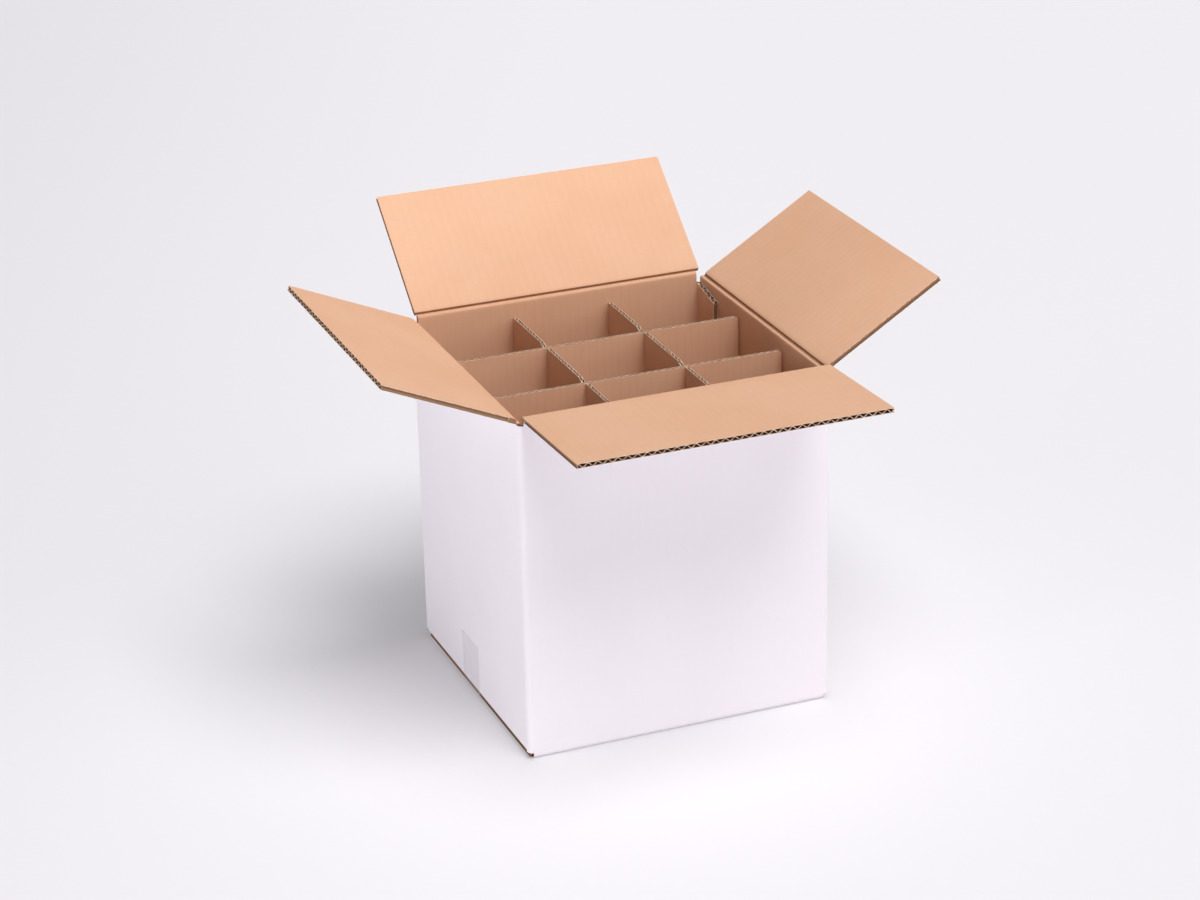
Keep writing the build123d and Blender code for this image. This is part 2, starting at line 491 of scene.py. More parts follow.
class Bench:
    """Mesh work as by hand: a primitive, edit-mode operators, applied modifiers."""

    @staticmethod
    def clear() -> None:
        """Leaves edit mode and deselects everything."""
        if bpy.context.mode != "OBJECT":
            bpy.ops.object.mode_set(mode="OBJECT")
        bpy.ops.object.select_all(action="DESELECT")

    @staticmethod
    def focus(*pieces: Piece) -> None:
        """Selects only these pieces and makes the first one active.

        Args:
            pieces: what is selected.
        """
        Bench.clear()
        for piece in pieces:
            piece.select_set(True)
        bpy.context.view_layer.objects.active = pieces[0]

    @staticmethod
    @contextmanager
    def editing(piece: Piece) -> Iterator[None]:
        """Edit mode on one piece.

        Args:
            piece: the piece to edit.

        Returns:
            A context in which it is edited.
        """
        Bench.focus(piece)
        bpy.ops.object.mode_set(mode="EDIT")
        yield
        bpy.ops.object.mode_set(mode="OBJECT")

    @staticmethod
    def pick(kind: Element, test: Callable[[object], bool]) -> None:
        """Selects what passes a test in the mesh being edited, and nothing else.

        Args:
            kind: corners or edges.
            test: given each of them, says whether it is selected.
        """
        bpy.ops.mesh.select_mode(type=kind.value)
        bpy.ops.mesh.select_all(action="DESELECT")
        mesh = bpy.context.object.data
        draft = bmesh.from_edit_mesh(mesh)
        draft.normal_update()
        for item in draft.verts if kind is Element.VERT else draft.edges:
            if test(item):
                item.select_set(True)
        draft.select_flush_mode()
        bmesh.update_edit_mesh(mesh)

    @staticmethod
    def block(name: str, low: Sequence[float], high: Sequence[float]) -> Piece:
        """A block between two corners.

        Args:
            name: the piece's name.
            low: the corner with the least x, y and z.
            high: the opposite corner.

        Returns:
            The block, with its place in its mesh.
        """
        Bench.clear()
        start, end = Vector(low), Vector(high)
        bpy.ops.mesh.primitive_cube_add(size=1.0, location=(start + end) / 2)
        made = bpy.context.object
        made.name = name
        made.scale = end - start
        bpy.ops.object.transform_apply(location=True, rotation=True, scale=True)
        return made

    @staticmethod
    def sheet(name: str, low: Span, high: Span, z: float) -> Piece:
        """A flat face.

        Args:
            name: the piece's name.
            low: its least x and y.
            high: its greatest x and y.
            z: its height.

        Returns:
            The face, with its place in its mesh.
        """
        Bench.clear()
        middle = ((low[0] + high[0]) / 2, (low[1] + high[1]) / 2, z)
        bpy.ops.mesh.primitive_plane_add(size=1.0, location=middle)
        made = bpy.context.object
        made.name = name
        made.scale = (high[0] - low[0], high[1] - low[1], 1.0)
        bpy.ops.object.transform_apply(location=True, rotation=True, scale=True)
        return made

    @staticmethod
    def copy(piece: Piece, name: str) -> Piece:
        """A copy with its own mesh.

        Args:
            piece: the piece that is copied.
            name: the copy's name.

        Returns:
            The copy.
        """
        made = piece.copy()
        made.data = piece.data.copy()
        made.name = name
        bpy.context.collection.objects.link(made)
        return made

    @staticmethod
    def drop(piece: Piece) -> None:
        """Throws away a cutter or a blank."""
        bpy.data.objects.remove(piece, do_unlink=True)

    @staticmethod
    def trim(piece: Piece, point: Sequence[float], normal: Sequence[float]) -> None:
        """Cuts off what lies beyond a plane, where its normal points, and closes the cut.

        Args:
            piece: the piece to cut.
            point: a point of the plane.
            normal: the plane's normal.
        """
        with Bench.editing(piece):
            bpy.ops.mesh.select_all(action="SELECT")
            bpy.ops.mesh.bisect(plane_co=point, plane_no=normal, use_fill=True, clear_outer=True)

    @staticmethod
    def carve(piece: Piece, cutter: Piece, operation: str) -> None:
        """Cuts one closed piece with another.

        Args:
            piece: the piece that is changed.
            cutter: the piece that cuts it, which stays.
            operation: DIFFERENCE or INTERSECT.
        """
        step = piece.modifiers.new("carve", "BOOLEAN")
        step.object = cutter
        step.operation = operation
        step.solver = "EXACT"
        Bench.apply(piece)

    @staticmethod
    def apply(piece: Piece) -> None:
        """Applies every modifier on a piece.

        Args:
            piece: the piece to finish.
        """
        Bench.focus(piece)
        for step in list(piece.modifiers):
            bpy.ops.object.modifier_apply(modifier=step.name)

    @staticmethod
    def outward(piece: Piece) -> None:
        """Merges doubles and turns every face outwards.

        Args:
            piece: the piece to mend.
        """
        with Bench.editing(piece):
            bpy.ops.mesh.select_all(action="SELECT")
            bpy.ops.mesh.remove_doubles(threshold=DOUBLE)
            bpy.ops.mesh.normals_make_consistent(inside=False)

    @staticmethod
    def join(name: str, pieces: Sequence[Piece]) -> Piece:
        """Joins pieces into the first one.

        Args:
            name: the joined piece's name.
            pieces: what is joined.

        Returns:
            The joined piece.
        """
        Bench.focus(*pieces)
        bpy.ops.object.join()
        made = bpy.context.object
        made.name = name
        made.data.name = name
        return made

    @staticmethod
    def paint(piece: Piece, finishes: Sequence[Finish], choose: Callable[[Facet], int]) -> None:
        """Gives each face one of the finishes.

        Args:
            piece: the piece to paint.
            finishes: its materials.
            choose: gives the finish's number for a face.
        """
        piece.data.materials.clear()
        for finish in finishes:
            piece.data.materials.append(finish)
        for polygon in piece.data.polygons:
            polygon.material_index = choose(polygon)

    @staticmethod
    def smooth(piece: Piece, degrees: float) -> None:
        """Smooth shading over edges that turn by less than an angle."""
        Bench.focus(piece)
        bpy.ops.object.shade_smooth_by_angle(angle=math.radians(degrees))

    @staticmethod
    def turn(x: float = 0.0, z: float = 0.0) -> Matrix:
        """A turn about X or Z, in degrees."""
        return Matrix.Rotation(math.radians(z), 4, "Z") @ Matrix.Rotation(math.radians(x), 4, "X")

    @staticmethod
    def move(piece: Piece, matrix: Matrix) -> Piece:
        """Moves a piece, with its place kept in its mesh.

        Args:
            piece: the piece to move.
            matrix: where it goes.

        Returns:
            The same piece.
        """
        piece.matrix_world = matrix
        Bench.focus(piece)
        bpy.ops.object.transform_apply(location=True, rotation=True, scale=True)
        return piece

    @staticmethod
    def place(piece: Piece, matrix: Matrix) -> Piece:
        """Puts a finished piece in the model's frame, in metres."""
        return Bench.move(piece, Matrix.Scale(MM, 4) @ matrix)


# ---- Board ----


@dataclass(frozen=True)
class Grade:
    """A grade of corrugated board: its papers, its flutes, and how far in its sides are torn."""

    thickness: float
    liner: float
    medium: float
    pitch: float
    torn: float
    steps: int = 8


CARTON_BOARD = Grade(thickness=4.0, liner=0.4, medium=0.44, pitch=7.8, torn=0.95)
DIVIDER_BOARD = Grade(thickness=3.0, liner=0.46, medium=0.46, pitch=6.5, torn=0.3)


TORN_DEEP = 0.5  # a board torn deeper than this shows its flutes there, not a cut edge


@dataclass
class FlutedBoard:
    """A sheet of board: x runs across its flutes, y along them, and its outer face is at z = 0."""

    name: str
    grade: Grade
    across: Span
    along: Span
    finishes: list[Finish]
    shape: Optional[Callable[[Piece], None]] = None
    corner: float = 0.4
    phase: float = 0.35
    overrun: float = 1.0

    def blank(self) -> Piece:
        """The sheet's outline as one solid, cut to shape.

        Returns:
            The outline.
        """
        low = (self.across[0], self.along[0], -self.grade.thickness)
        high = (self.across[1], self.along[1], 0.0)
        made = Bench.block(f"{self.name}_blank", low, high)
        if self.shape:
            self.shape(made)
        return made

    def liner(self, blank: Piece, level: float, normal: float) -> Piece:
        """One liner: the blank cut off at a level, beyond which lie the flutes.

        Args:
            blank: the sheet's outline, which stays.
            level: the height of the cut.
            normal: 1 to cut off what is above it, -1 what is below.

        Returns:
            The liner.
        """
        made = Bench.copy(blank, f"{self.name}_liner")
        Bench.trim(made, (0, 0, level), (0, 0, normal))
        return made

    def wave(self) -> Piece:
        """The fluted paper: one wave drawn by extruding an edge, then repeated across the sheet.

        Returns:
            The paper, which runs past the sheet all round.
        """
        grade = self.grade
        step = grade.pitch / grade.steps
        lift = (grade.thickness - 2 * grade.liner - grade.medium) / 2
        heights = [lift * math.cos(2 * math.pi * i / grade.steps) for i in range(grade.steps + 1)]
        start = self.across[0] - grade.pitch * self.phase
        low = (start, self.along[0] - self.overrun)
        high = (start + step, self.along[1] + self.overrun)
        made = Bench.sheet(f"{self.name}_wave", low, high, heights[0] - grade.thickness / 2)
        with Bench.editing(made):
            Bench.pick(Element.EDGE,
                       lambda edge: min(v.co.x for v in edge.verts) > start + step / 2)
            bpy.ops.transform.translate(value=(0, 0, heights[1] - heights[0]))
            for last, height in zip(heights[1:], heights[2:]):
                bpy.ops.mesh.extrude_region_move(
                    TRANSFORM_OT_translate={"value": (step, 0, height - last)})
        repeat = made.modifiers.new("repeat", "ARRAY")
        repeat.use_relative_offset = False
        repeat.use_constant_offset = True
        repeat.constant_offset_displace = (grade.pitch, 0, 0)
        repeat.count = math.ceil((self.across[1] - start) / grade.pitch) + 1
        repeat.use_merge_vertices = True
        repeat.merge_threshold = TOUCH
        thicken = made.modifiers.new("thicken", "SOLIDIFY")
        thicken.thickness = grade.medium
        thicken.offset = 0.0
        thicken.use_even_offset = True
        Bench.apply(made)
        return made

    def torn_edges(self) -> list[Piece]:
        """The torn paper that closes the board's two sides, between its liners.

        Returns:
            One block for each side.
        """
        grade, (low, high) = self.grade, self.along
        bottom, top = grade.liner / 2 - grade.thickness, -grade.liner / 2
        return [Bench.block(f"{self.name}_torn", (x, low + self.corner, bottom),
                            (x + grade.medium, high - self.corner, top))
                for x in (self.across[0] + grade.torn, self.across[1] - grade.torn - grade.medium)]

    def finish_of(self, polygon: Facet) -> int:
        """Which of its papers a face shows, by its height and the way that it faces.

        Args:
            polygon: the face.

        Returns:
            The finish's number.
        """
        grade, height = self.grade, polygon.center.z
        between = grade.liner - grade.thickness < height < -grade.liner
        if between and abs(polygon.normal.x) > 0.9:
            return Paper.FLUTES if grade.torn > TORN_DEEP else Paper.CUT
        if abs(polygon.normal.z) < 0.35:
            return Paper.RIM if height > -grade.liner else Paper.CUT
        if height > -TOUCH:
            return Paper.OUTER
        return Paper.INNER if height < TOUCH - grade.thickness else Paper.FLUTES

    def build(self) -> Piece:
        """Makes the board.

        Returns:
            The board, still in its own flat frame.
        """
        thickness, liner = self.grade.thickness, self.grade.liner
        blank = self.blank()
        outer = self.liner(blank, -liner, -1.0)
        inner = self.liner(blank, liner - thickness, 1.0)
        wave = self.wave()
        Bench.carve(wave, blank, "INTERSECT")
        Bench.drop(blank)
        made = Bench.join(self.name, [outer, inner, wave, *self.torn_edges()])
        Bench.paint(made, self.finishes, self.finish_of)
        Bench.smooth(made, 55.0)
        return made


@dataclass
class QuarterFold:
    """A quarter-round fold in the board, about Z, from x = -radius round to y = -radius."""

    name: str
    grade: Grade
    radius: float
    height: Span
    finishes: list[Finish]
    sink: float = 1.2
    skin: float = 0.1
    steps: int = 8

    def ring(self, inside: float, outside: float, low: float, high: float) -> Piece:
        """A quarter ring: a flat face spun through a quarter turn.

        Args:
            inside: its inner radius.
            outside: its outer radius.
            low: where it starts along the fold.
            high: where it ends.

        Returns:
            The ring.
        """
        made = Bench.sheet(f"{self.name}_ring", (-outside, low), (-inside, high), 0.0)
        Bench.move(made, Bench.turn(x=90.0))
        with Bench.editing(made):
            bpy.ops.mesh.select_all(action="SELECT")
            bpy.ops.mesh.spin(steps=self.steps, angle=-math.pi / 2, center=(0, 0, 0),
                              axis=(0, 0, 1))
        Bench.outward(made)
        return made

    def finish_of(self, polygon: Facet) -> int:
        """Which of its papers a face shows, by its distance from the fold's centre.

        Args:
            polygon: the face.

        Returns:
            The finish's number.
        """
        away = Vector((polygon.center.x, polygon.center.y)).length
        if abs(polygon.normal.z) > 0.5:
            return Paper.CUT
        if away > self.radius - self.skin:
            return Paper.OUTER
        inside = self.radius - self.grade.thickness
        return Paper.INNER if away < inside + self.skin else Paper.FLUTES

    def build(self) -> Piece:
        """Makes the fold.

        Returns:
            Two liners bent round, with the crushed flutes sunk between them.
        """
        grade, outside = self.grade, self.radius
        inside = outside - grade.thickness
        low, high = self.height
        rings = [
            self.ring(outside - grade.liner, outside, low, high),
            self.ring(inside, inside + grade.liner, low, high),
            self.ring(inside + grade.liner, outside - grade.liner,
                      low + self.sink, high - self.sink),
        ]
        made = Bench.join(self.name, rings)
        Bench.paint(made, self.finishes, self.finish_of)
        Bench.smooth(made, 40.0)
        return made


# ---- Carton ----


@dataclass(frozen=True)
class CartonSizes:
    """The carton's sizes. The overall ones come from the CAD model."""

    half_length: float
    half_width: float
    height: float
    bend: float = 4.5
    flap: float = 115.0
    bottom_flap: float = 123.0
    board_gap: float = 4.4  # from an outer flap's outside to that of the inner one behind it
    strip: float = 7.0  # how much wall, and how much flap, a crease bends
    flap_gap: float = 0.4
    flap_lap: float = 2.0
    seam_gap: float = 1.0
    corner_top: float = 285.0
    corner_bottom: float = 5.6

    @classmethod
    def from_cad(cls) -> "CartonSizes":
        """Reads the overall sizes from the CAD model's carton and creases.

        Returns:
            The sizes.
        """
        low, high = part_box("carton_body")
        crease = max(joint["pos_m"][2] for joint in frame["joints"])
        return cls((high.x - low.x) / 2 / MM, (high.y - low.y) / 2 / MM, crease / MM)


# Sections of a crease: the outer and the inner point's distances from the hinge and the inner
# point's depth in the board, and on the flap how far its width has changed from the wall's.
WALL_STATIONS = ((7.0, 7.0, 4.0), (4.0, 3.0, 4.0), (2.6, 1.3, 3.95), (1.8, 0.2, 3.85),
                 (1.0, -0.4, 3.4), (0.5, -0.5, 2.2))
FLAP_STATIONS = ((0.4, 0.3, 1.4, 0.5), (0.8, 0.6, 2.9, 1.0), (1.3, 1.1, 3.4, 1.0),
                 (2.0, 2.2, 3.8, 1.0), (3.0, 3.8, 3.97, 1.0), (7.0, 7.0, 4.0, 1.0))
FAR_END = 1000.0  # how far off a crease's far end is made, to tell it from the near one


@dataclass
class CartonSide:
    """One side of the carton: its wall, its two folds, its bottom flap and its top flap."""

    side: SideName
    sizes: CartonSizes
    palette: Palette
    crease: float
    under: float
    open_angle: float
    wall: Span
    flap: Span
    crushed: float = 1.1
    sag_depth: float = 0.2
    sag_run: float = 1.8
    grade: Grade = CARTON_BOARD
    finishes: list[Finish] = field(init=False)

    def __post_init__(self) -> None:
        """Fetches the side's finishes."""
        self.finishes = self.palette.board("white", self.side.across, self.grade.pitch)

    def stand(self) -> Matrix:
        """From the side's own frame, whose y points into the box, to the model's.

        Returns:
            The matrix.
        """
        upright = self.side in (SideName.FRONT, SideName.BACK)
        offset = self.sizes.half_width if upright else self.sizes.half_length
        return Bench.turn(z=self.side.value) @ Matrix.Translation((0, -offset, 0))

    def hinge(self) -> Matrix:
        """From a shut flap's frame to the side's own, at the flap's rest angle."""
        return Matrix.Translation((0, 0, self.crease)) @ Bench.turn(x=self.open_angle)

    def panel(self) -> Piece:
        """The wall, the fold under it and the bottom flap, as one piece.

        Returns:
            The panel.
        """
        word, bend = self.side.word, self.sizes.bend
        height = (self.under + bend, self.crease - self.sizes.strip)
        wall = FlutedBoard(f"{word}_wall", self.grade, self.wall, height, self.finishes).build()
        Bench.move(wall, Bench.turn(x=90.0))
        flap = FlutedBoard(f"{word}_bottom_flap", self.grade, self.flap,
                           (-self.sizes.bottom_flap, -bend), self.finishes).build()
        Bench.move(flap, Matrix.Translation((0, 0, self.under)) @ Bench.turn(x=180.0))
        fold = QuarterFold(f"{word}_bottom_fold", self.grade, bend, self.wall,
                           self.finishes).build()
        lying = Matrix(((0, 0, 1, 0), (1, 0, 0, 0), (0, 1, 0, 0), (0, 0, 0, 1)))
        Bench.move(fold, Matrix.Translation((0, bend, self.under + bend)) @ lying)
        made = Bench.join(f"{word}_panel", [wall, flap, fold])
        return self.settle(made, "carton", "carton_body", self.stand())

    def top_flap(self) -> Piece:
        """The top flap beyond its crease.

        Returns:
            The flap.
        """
        word = self.side.word
        made = FlutedBoard(f"{word}_top_flap", self.grade, self.flap,
                           (self.sizes.strip, self.sizes.flap), self.finishes).build()
        return self.settle(made, f"{word}_flap", f"top_flap_{word}", self.stand() @ self.hinge())

    def settle(self, made: Piece, body: str, node: str, matrix: Matrix) -> Piece:
        """Places a piece and ties it to its CAD body and node.

        Args:
            made: the piece.
            body: the body that it rides on.
            node: the CAD node that it stands for.
            matrix: from its own frame to the model's.

        Returns:
            The same piece.
        """
        Bench.place(made, matrix)
        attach(made, body)
        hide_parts(node)
        return made

    def crease_profile(self) -> list[tuple[Vector, Vector, float]]:
        """The crushed board's section over the crease, from the wall to the flap.

        Returns:
            For each station, the outer and the inner point as (0, inward, up) from the hinge, and
            how far the board has changed from the wall's width to the flap's.
        """
        turn = Matrix.Rotation(math.radians(self.open_angle), 3, "X")
        apex = self.inside()
        stations = [(Vector((0, self.sag(outer), -outer)), Vector((0, depth, -inner)), 0.0)
                    for outer, inner, depth in WALL_STATIONS]
        stations.append((apex * 0.3, apex * self.crushed, 0.2))
        stations += [(turn @ Vector((0, outer, -self.sag(outer))),
                      turn @ Vector((0, inner, -depth)), over)
                     for outer, inner, depth, over in FLAP_STATIONS]
        return stations

    def sag(self, run: float) -> float:
        """How far the outer liner is pressed in, at a distance from the hinge."""
        return self.sag_depth * max(0.0, 1.0 - run / self.sag_run)

    def inside(self) -> Vector:
        """The direction from the hinge that halves the angle on the kraft side."""
        middle = math.radians(self.open_angle - 90.0) / 2
        return Vector((0, math.cos(middle), math.sin(middle)))

    def crease_ends(self) -> tuple[Vector, Vector]:
        """Where the crease's bend starts on the wall and ends on the flap, from the hinge.

        Returns:
            The start and the end.
        """
        reach, angle = self.sizes.strip, math.radians(self.open_angle)
        end = Vector((0, reach * math.cos(angle), reach * math.sin(angle)))
        return Vector((0, 0, -reach)), end

    def crease_strip(self) -> Piece:
        """The crushed board over the crease, made at the flap's rest angle.

        Returns:
            The strip, whose width goes over from the wall's to the flap's.
        """
        stations = self.crease_profile()
        spaces = len(stations) - 1
        Bench.clear()
        bpy.ops.mesh.primitive_grid_add(x_subdivisions=spaces, y_subdivisions=1, size=2.0)
        made = bpy.context.object
        for vertex in made.data.vertices:
            outer, inner, over = stations[round((vertex.co.x + 1.0) / 2 * spaces)]
            vertex.co = outer if vertex.co.y < 0 else inner
            vertex.co.x = self.wall[0] * (1 - over) + self.flap[0] * over
        with Bench.editing(made):
            bpy.ops.mesh.select_all(action="SELECT")
            bpy.ops.mesh.extrude_region_move(TRANSFORM_OT_translate={"value": (FAR_END, 0, 0)})
        gap = self.flap[0] - self.wall[0]
        wall_width, flap_width = self.wall[1] - self.wall[0], self.flap[1] - self.flap[0]
        for vertex in made.data.vertices:
            if vertex.co.x > FAR_END / 2:
                near = vertex.co.x - FAR_END
                over = (near - self.wall[0]) / gap if abs(gap) > DOUBLE else 0.0
                vertex.co.x = near + wall_width * (1 - over) + flap_width * over
        Bench.outward(made)
        Bench.paint(made, self.finishes, self.crease_finish)
        Bench.smooth(made, 42.0)
        made.name = f"{self.side.word}_crease"
        matrix = self.stand() @ Matrix.Translation((0, 0, self.crease))
        Bench.place(made, matrix)
        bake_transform(made)
        return made

    def crease_finish(self, polygon: Facet) -> int:
        """Which finish a face of the crease gets: white outside, kraft inside, torn flutes at its
        ends, and the dark flute paper on the lip at the flap's foot as painted shade along the
        crease.

        Args:
            polygon: the face.

        Returns:
            The finish's number.
        """
        flapward = self.crease_ends()[1].normalized()
        # painted shade: the lip where the flap's kraft face starts gets the dark flute paper,
        # drawing the crease's shaded line
        crease_shade_lip = polygon.normal.dot(flapward) < -0.7 and polygon.center.dot(flapward) > 0.1
        if abs(polygon.normal.x) > 0.3 or crease_shade_lip:
            return Paper.FLUTES
        return Paper.OUTER if polygon.normal.dot(self.inside()) < 0 else Paper.INNER

    def build(self) -> list[Piece]:
        """Makes the side's three pieces."""
        return [self.panel(), self.top_flap(), self.crease_strip()]


@dataclass
class CartonCorners:
    """The upright folds: three creased corners and the glued seam with its tab."""

    sizes: CartonSizes
    palette: Palette
    tab_width: float = 34.0
    tab_taper: float = 7.0
    tab_fold: float = 127.0
    tab_span: Span = (9.6, 281.0)
    tooth: float = 3.0
    tooth_depth: float = 0.9
    grade: Grade = CARTON_BOARD

    def fold(self, name: str, centre: Span, turn: float, height: Span) -> Piece:
        """One upright fold.

        Args:
            name: the fold's name.
            centre: the x and y that it is bent about.
            turn: its turn from the front left corner's, in degrees.
            height: where it starts and ends.

        Returns:
            The fold.
        """
        finishes = self.palette.board("white", Across.X, self.grade.pitch)
        made = QuarterFold(name, self.grade, self.sizes.bend, height, finishes).build()
        return Bench.move(made, Matrix.Translation((*centre, 0)) @ Bench.turn(z=turn))

    def corners(self) -> Piece:
        """The three creased corners as one piece.

        Returns:
            The corners.
        """
        x = self.sizes.half_length - self.sizes.bend
        y = self.sizes.half_width - self.sizes.bend
        height = (self.sizes.corner_bottom, self.sizes.corner_top)
        folds = [
            self.fold("front_left", (-x, -y), 0.0, height),
            self.fold("front_right", (x, -y), 90.0, height),
            self.fold("back_left", (-x, y), 270.0, height),
        ]
        return self.settle(Bench.join("corner_folds", folds))

    def taper(self, blank: Piece) -> None:
        """Slants the tab's top and bottom edges towards its free edge.

        Args:
            blank: the tab's outline.
        """
        middle = sum(self.tab_span) / 2
        for vertex in blank.data.vertices:
            if vertex.co.x < -self.tab_width / 2:
                vertex.co.y += self.tab_taper if vertex.co.y < middle else -self.tab_taper

    def serrate(self, blank: Piece) -> None:
        """Slants the tab's ends and gives its free edge the fine teeth of its cutting rule.

        Args:
            blank: the tab's outline.
        """
        self.taper(blank)
        low = self.tab_span[0] + self.tab_taper
        length = self.tab_span[1] - self.tab_taper - low
        count = 2 * round(length / self.tooth)

        def at_free_edge(vertex: object) -> bool:
            """Whether a vertex lies on the tab's free edge."""
            return vertex.co.x < 0.5 - self.tab_width

        with Bench.editing(blank):
            Bench.pick(Element.EDGE, lambda edge: all(map(at_free_edge, edge.verts))
                       and abs(edge.verts[0].co.y - edge.verts[1].co.y) > length / 2)
            bpy.ops.mesh.subdivide(number_cuts=count - 1)
            Bench.pick(Element.VERT, lambda vertex: at_free_edge(vertex)
                       and round((vertex.co.y - low) / length * count) % 2 == 1)
            bpy.ops.transform.translate(value=(self.tooth_depth, 0, 0))

    def tab(self) -> Piece:
        """The glue tab and its fold, inside the right wall.

        Returns:
            The tab.
        """
        fold_y = self.sizes.half_width - self.sizes.bend
        board = FlutedBoard("glue_tab", self.grade, (-self.tab_width, 0.0), self.tab_span,
                            self.palette.board("white", Across.Y, self.grade.pitch), self.serrate,
                            self.tab_taper + 1.0).build()
        stand = Matrix.Translation((self.tab_fold, fold_y, 0)) @ Bench.turn(x=90.0, z=90.0)
        Bench.move(board, stand)
        centre = (self.tab_fold - self.sizes.bend, fold_y)
        fold = self.fold("tab_fold", centre, 180.0, self.tab_span)
        return self.settle(Bench.join("glue_tab", [board, fold]))

    def settle(self, made: Piece) -> Piece:
        """Places a piece and ties it to the carton.

        Args:
            made: the piece.

        Returns:
            The same piece.
        """
        Bench.place(made, Matrix.Identity(4))
        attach(made, "carton")
        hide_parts("carton_body")
        return made

    def build(self) -> list[Piece]:
        """Makes the corners and the tab."""
        return [self.corners(), self.tab()]


@dataclass
class BottomTape:
    """Clear tape along the bottom seam and up both side walls."""

    sizes: CartonSizes
    palette: Palette
    proud: float = 0.04
    thickness: float = 0.06
    heel: float = 7.7
    foot_in: float = 2.5

    def build(self) -> list[Piece]:
        """Makes the tape: an edge extruded down one wall, across the base and up the other.

        Returns:
            The tape alone.
        """
        low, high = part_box("bottom_tape")
        side = high.x / MM + self.proud
        foot = side - self.foot_in
        rise = high.z / MM
        path = [(-side, rise), (-side, self.heel), (-foot, -self.proud), (foot, -self.proud),
                (side, self.heel), (side, rise)]
        made = Bench.sheet("bottom_tape", (-side, low.y / MM), (-side + 1.0, high.y / MM), rise)
        with Bench.editing(made):
            Bench.pick(Element.VERT, lambda vertex: vertex.co.x > 0.5 - side)
            bpy.ops.transform.translate(value=(-1.0, 0, self.heel - rise))
            bpy.ops.mesh.select_mode(type="EDGE")
            for last, point in zip(path[1:], path[2:]):
                bpy.ops.mesh.extrude_region_move(TRANSFORM_OT_translate={
                    "value": (point[0] - last[0], 0, point[1] - last[1])})
        thicken = made.modifiers.new("thicken", "SOLIDIFY")
        thicken.thickness = self.thickness
        thicken.offset = 0.0
        Bench.apply(made)
        Bench.outward(made)
        Bench.paint(made, [self.palette.get(TapeFilm())], lambda polygon: 0)
        Bench.place(made, Matrix.Identity(4))
        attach(made, "carton")
        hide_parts("bottom_tape")
        return [made]


# ---- Dividers ----


@dataclass
class Divider:
    """One divider: a sheet with two slots, each with a quarter round on one side of its mouth."""

    node: str
    palette: Palette
    long_way: bool
    spacing: float = 85.0
    slot: float = 4.2
    mouth: float = 14.0
    corner: float = 2.5
    overlap: float = 0.5
    clear: float = 5.0
    grade: Grade = DIVIDER_BOARD

    def shape(self, blank: Piece) -> None:
        """Cuts the two slots, and rounds one side of each mouth and the sheet's corners.

        Args:
            blank: the sheet's outline.
        """
        low = min(vertex.co.y for vertex in blank.data.vertices)
        high = max(vertex.co.y for vertex in blank.data.vertices)
        reach = max(vertex.co.x for vertex in blank.data.vertices)
        mouth, into = (low, 1) if self.long_way else (high, -1)
        far = (low + high) / 2 + into * self.overlap
        beyond = mouth - into * self.clear
        for x in (-self.spacing / 2, self.spacing / 2):
            cutter = Bench.block("slot", (x - self.slot / 2, min(far, beyond), -self.clear),
                                 (x + self.slot / 2, max(far, beyond), self.clear))
            Bench.carve(blank, cutter, "DIFFERENCE")
            Bench.drop(cutter)

        def through(edge: object) -> bool:
            """Whether an edge runs through the sheet's thickness."""
            first, last = (vertex.co for vertex in edge.verts)
            return abs(first.z - last.z) > 1.0

        def at_mouth(edge: object) -> bool:
            """Whether an edge is the rounded corner of a slot's mouth."""
            point = edge.verts[0].co
            return (through(edge) and abs(point.y - mouth) < TOUCH
                    and abs(abs(point.x - self.slot / 2) - self.spacing / 2) < TOUCH)

        def at_corner(edge: object) -> bool:
            """Whether an edge is one of the sheet's corners."""
            point = edge.verts[0].co
            return (through(edge) and abs(abs(point.x) - reach) < TOUCH
                    and min(abs(point.y - low), abs(point.y - high)) < TOUCH)

        with Bench.editing(blank):
            for test, radius, steps in ((at_mouth, self.mouth, 10), (at_corner, self.corner, 6)):
                Bench.pick(Element.EDGE, test)
                bpy.ops.mesh.bevel(offset=radius, segments=steps, profile=0.5, affect="EDGES")

    def build(self) -> list[Piece]:
        """Makes the divider where its CAD node stands.

        Returns:
            The divider alone.
        """
        low, high = (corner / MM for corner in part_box(self.node))
        across = (low.x, high.x) if self.long_way else (low.y, high.y)
        axis = Across.X if self.long_way else Across.Y
        finishes = self.palette.board("kraft", axis, self.grade.pitch)
        made = FlutedBoard(self.node, self.grade, across, (low.z, high.z), finishes,
                           self.shape, self.corner).build()
        if self.long_way:
            stand = Matrix.Translation((0, low.y, 0)) @ Bench.turn(x=90.0)
        else:
            stand = Matrix.Translation((high.x, 0, 0)) @ Bench.turn(x=90.0, z=90.0)
        Bench.place(made, stand)
        made.name = f"{self.node}_board"
        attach(made, "carton")
        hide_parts(self.node)
        return [made]


# ---- Studio ----


